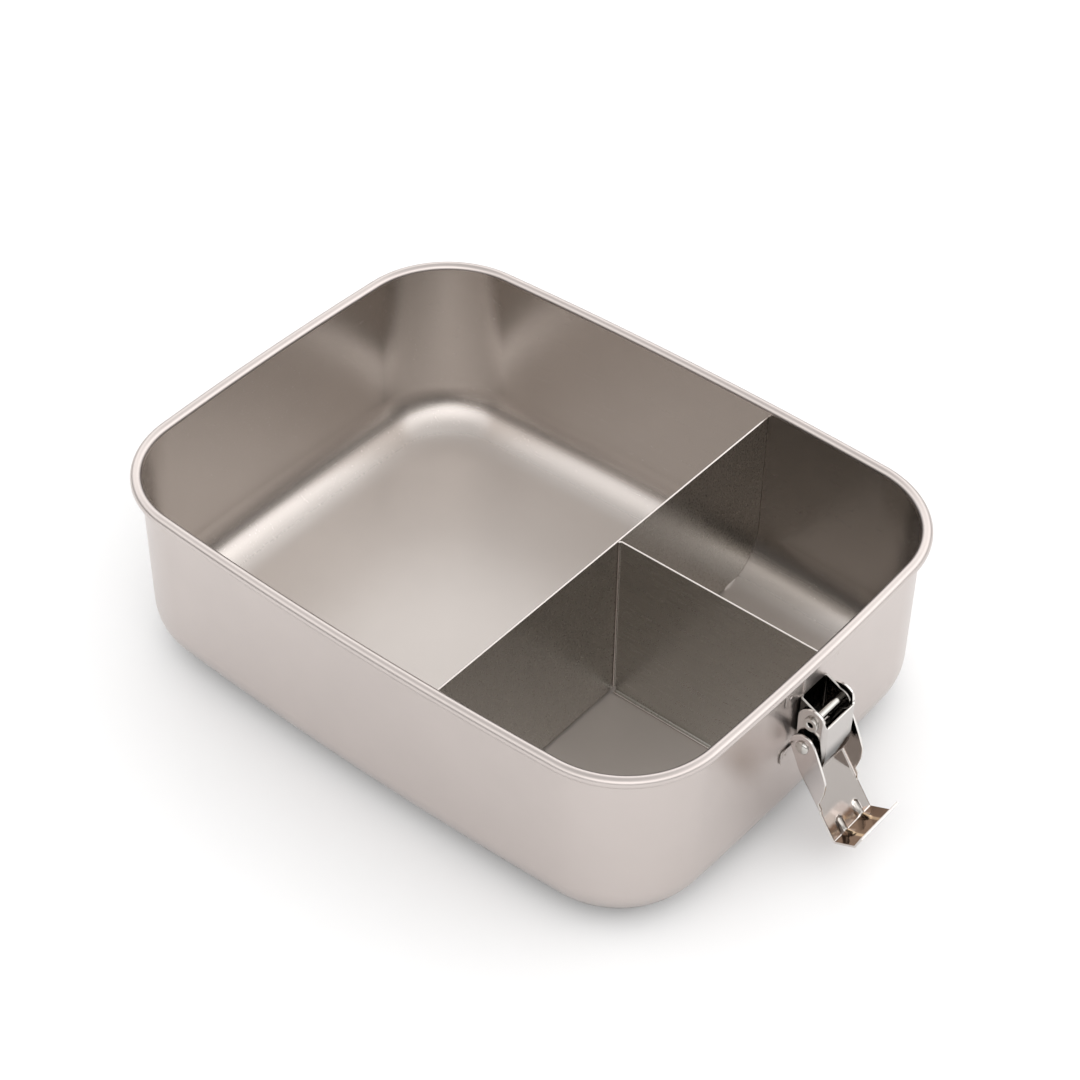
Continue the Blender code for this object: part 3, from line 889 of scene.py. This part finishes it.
def make_camera():
    data = bpy.data.cameras.new("camera")
    data.lens = CAMERA_LENS
    data.sensor_width = 36.0
    data.clip_start, data.clip_end = 0.01, 50.0
    camera = bpy.data.objects.new("camera", data)
    bpy.context.scene.collection.objects.link(camera)
    level = Vector((-math.sin(CAMERA_AZIMUTH), math.cos(CAMERA_AZIMUTH), 0))
    forward = level * math.cos(CAMERA_ELEVATION) - Vector((0, 0, math.sin(CAMERA_ELEVATION)))
    right = Vector((math.cos(CAMERA_AZIMUTH), math.sin(CAMERA_AZIMUTH), 0))
    up = right.cross(forward)
    rolled = right * math.cos(CAMERA_ROLL) + up * math.sin(CAMERA_ROLL)
    up = rolled.cross(forward)
    turn = Matrix((rolled, up, -forward)).transposed().to_4x4()
    camera.matrix_world = Matrix.Translation(CAMERA_AT) @ turn
    bpy.context.scene.camera = camera


def make_floor():
    bpy.ops.mesh.primitive_plane_add(size=24)
    floor = bpy.context.object
    floor.name = "floor"
    floor.location.z = -0.0002
    material = bpy.data.materials.new("paper")
    nodes = Nodes(material)
    shader = nodes.tree.nodes["Principled BSDF"]
    shader.inputs["Base Color"].default_value = (0.93, 0.93, 0.93, 1)
    shader.inputs["Roughness"].default_value = 0.9
    shader.inputs["Specular IOR Level"].default_value = 0.0
    floor.data.materials.append(material)


# A soft studio. Its walls glow most at about 40 degrees up. SKY has how much, from the horizon to
# overhead, by the sine of the elevation. Each card is a wide, soft-edged patch that lifts or lowers the
# light: its direction from the box, how tightly it is gathered, and what it adds.
SKY_STRENGTH = 1.95
SKY = ((0.0, 0.10), (0.15, 0.22), (0.42, 0.95), (0.58, 1.0), (0.73, 0.75), (0.86, 0.42), (1.0, 0.42))
CARDS = (
    ((-0.60, -0.60, 0.53), 4.0, -0.45),
    ((0.47, 0.57, 0.67), 6.0, 0.30),
    ((0.47, -0.57, 0.67), 8.0, 0.34),
    ((0.79, 0.57, 0.21), 30.0, 0.28),
    ((-0.47, -0.44, 0.77), 25.0, 0.45),
)


def make_world():
    world = bpy.data.worlds.new("studio")
    bpy.context.scene.world = world
    nodes = Nodes(world)
    way = nodes.add("ShaderNodeTexCoord").outputs["Generated"]
    height = nodes.add("ShaderNodeSeparateXYZ", {"Vector": way}).outputs["Z"]
    sky = nodes.add("ShaderNodeValToRGB", {"Fac": height})
    sky.color_ramp.interpolation = "B_SPLINE"
    while len(sky.color_ramp.elements) < len(SKY):
        sky.color_ramp.elements.new(0.5)
    for element, (place, level) in zip(sky.color_ramp.elements, SKY):
        element.position = place
        element.color = (level, level, level, 1)
    light = nodes.add(
        "ShaderNodeMath", {0: sky.outputs["Color"], 1: SKY_STRENGTH}, operation="MULTIPLY"
    ).outputs[0]
    for direction, gathered, gain in CARDS:
        facing = nodes.add(
            "ShaderNodeVectorMath", {0: way, 1: Vector(direction).normalized()}, operation="DOT_PRODUCT"
        ).outputs["Value"]
        facing = nodes.add("ShaderNodeMath", {0: facing, 1: 0.0}, operation="MAXIMUM").outputs[0]
        share = nodes.add("ShaderNodeMath", {0: facing, 1: gathered}, operation="POWER").outputs[0]
        light = nodes.add(
            "ShaderNodeMath", {0: share, 1: gain, 2: light}, operation="MULTIPLY_ADD"
        ).outputs[0]
    background = nodes.tree.nodes["Background"]
    nodes.tree.links.new(light, background.inputs["Color"])


def main():
    bpy.context.scene.view_settings.view_transform = "Standard"
    make_camera()
    make_world()
    make_floor()
    materials = make_materials()
    make_tray(materials)
    make_long_divider(materials)
    make_short_divider(materials)
    make_latch("right", 0, materials)
    make_latch("left", math.pi, materials)


main()
